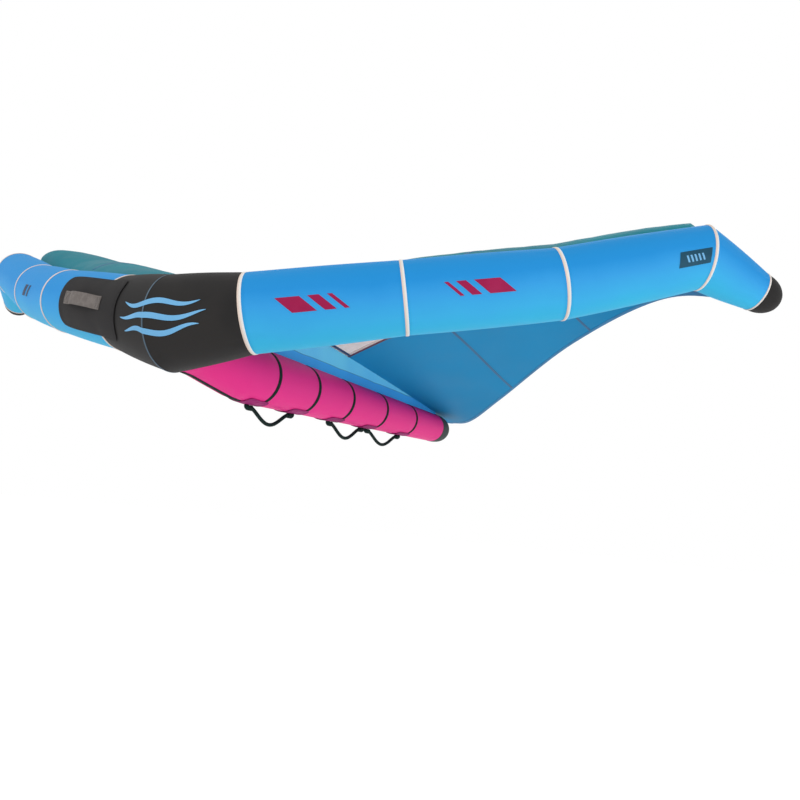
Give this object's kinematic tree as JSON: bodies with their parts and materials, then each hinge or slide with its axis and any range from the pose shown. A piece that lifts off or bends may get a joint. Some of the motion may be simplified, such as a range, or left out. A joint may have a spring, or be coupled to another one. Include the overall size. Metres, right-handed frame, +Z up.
{
  "type": "wingfoil wing",
  "caption": "Inflatable hand-held wing with a swept tubular leading edge, a strut with loop handles, a web and a cambered fabric canopy with clear windows.",
  "frame": {"origin": "middle of the front handle's grip, where a hand holds the wing", "axes": "+X towards the wing's right tip seen from behind, +Y from the leading edge back along the strut, +Z up from the strut to the canopy"},
  "size_m": [2.8426, 2.0428, 0.6557],
  "materials": {
    "black_cloth": "woven polyester, matt",
    "blue_cloth": "woven polyester, matt",
    "pink_cloth": "woven polyester, matt",
    "white_tape": "seam tape, satin",
    "bladder_film": "clear polyurethane film",
    "dark_rubber": "matt",
    "dark_webbing": "woven webbing",
    "grey_webbing": "woven webbing",
    "patch_cloth": "coated reinforcement cloth",
    "blue_canopy": "coated ripstop, satin",
    "black_canopy": "coated ripstop, satin",
    "web_cloth": "coated ripstop, satin",
    "clear_film": "clear film",
    "valve_plastic": "moulded nylon"
  },
  "bodies": {
    "wing": {"canopy_inner_panel_left": "blue_canopy", "canopy_inner_panel_right": "blue_canopy", "canopy_middle_panel_left": "blue_canopy", "canopy_middle_panel_right": "blue_canopy", "canopy_outer_panel_left": "blue_canopy", "canopy_outer_panel_right": "blue_canopy", "canopy_nose_panel": "black_canopy", "window_left": "clear_film", "window_right": "clear_film", "trailing_edge_hem_left": "dark_webbing", "trailing_edge_hem_right": "dark_webbing", "web_panel": "web_cloth", "edge_bladder": "bladder_film", "edge_centre_panel_left": "black_cloth", "edge_centre_panel_right": "black_cloth", "edge_inner_panel_left": "blue_cloth", "edge_inner_panel_right": "blue_cloth", "edge_middle_panel_left": "blue_cloth", "edge_middle_panel_right": "blue_cloth", "edge_outer_panel_left": "blue_cloth", "edge_outer_panel_right": "blue_cloth", "edge_tip_panel_left": "blue_cloth", "edge_tip_panel_right": "blue_cloth", "seam_tape_1_left": "white_tape", "seam_tape_1_right": "white_tape", "seam_tape_2_left": "white_tape", "seam_tape_2_right": "white_tape", "seam_tape_3_left": "white_tape", "seam_tape_3_right": "white_tape", "seam_tape_4_left": "white_tape", "seam_tape_4_right": "white_tape", "seam_tape_5_left": "white_tape", "seam_tape_5_right": "white_tape", "tip_cap_left": "black_cloth", "tip_cap_right": "black_cloth", "strap_patch": "black_cloth", "grab_strap": "grey_webbing", "strut_casing": "pink_cloth", "strut_bladder": "bladder_film", "strut_end_cap": "dark_rubber", "strut_band_1": "dark_webbing", "strut_band_2": "dark_webbing", "strut_band_3": "dark_webbing", "strut_band_4": "dark_webbing", "strut_band_5": "dark_webbing", "spine_webbing": "dark_webbing", "front_handle_patch": "patch_cloth", "second_handle_patch": "patch_cloth", "middle_handle_patch": "patch_cloth", "shared_handle_patch": "patch_cloth", "rear_handle_patch": "patch_cloth", "edge_valve_body": "valve_plastic", "strut_valve_body": "valve_plastic"},
    "edge_valve_cap": {"edge_valve_cap": "valve_plastic"},
    "strut_valve_cap": {"strut_valve_cap": "valve_plastic"},
    "front_handle": {"front_handle": "dark_webbing"},
    "middle_handle": {"middle_handle": "dark_webbing"},
    "rear_handle": {"rear_handle": "dark_webbing"}
  },
  "joints": [
    {"name": "front_handle_swing", "type": "hinge", "parent": "wing", "child": "front_handle", "pos_m": [0, 0, 0.0392], "axis": [0, 0.9998, 0.0221], "range_deg": [-85, 85]},
    {"name": "middle_handle_swing", "type": "hinge", "parent": "wing", "child": "middle_handle", "pos_m": [0, 0.47921, 0.04978], "axis": [0, 0.9998, 0.0221], "range_deg": [-85, 85]},
    {"name": "rear_handle_swing", "type": "hinge", "parent": "wing", "child": "rear_handle", "pos_m": [0, 0.76726, 0.05614], "axis": [0, 0.9998, 0.0221], "range_deg": [-85, 85]},
    {"name": "edge_valve_cap_hinge", "type": "hinge", "parent": "wing", "child": "edge_valve_cap", "pos_m": [-0.13408, -0.3462, 0.1696], "axis": [-0.9767, 0.1177, 0.1797], "range_deg": [0, 150]},
    {"name": "strut_valve_cap_hinge", "type": "hinge", "parent": "wing", "child": "strut_valve_cap", "pos_m": [-0.09203, 0.03303, 0.1198], "axis": [-0.0217, -0.9998, 0.0029], "range_deg": [0, 150]}
  ]
}
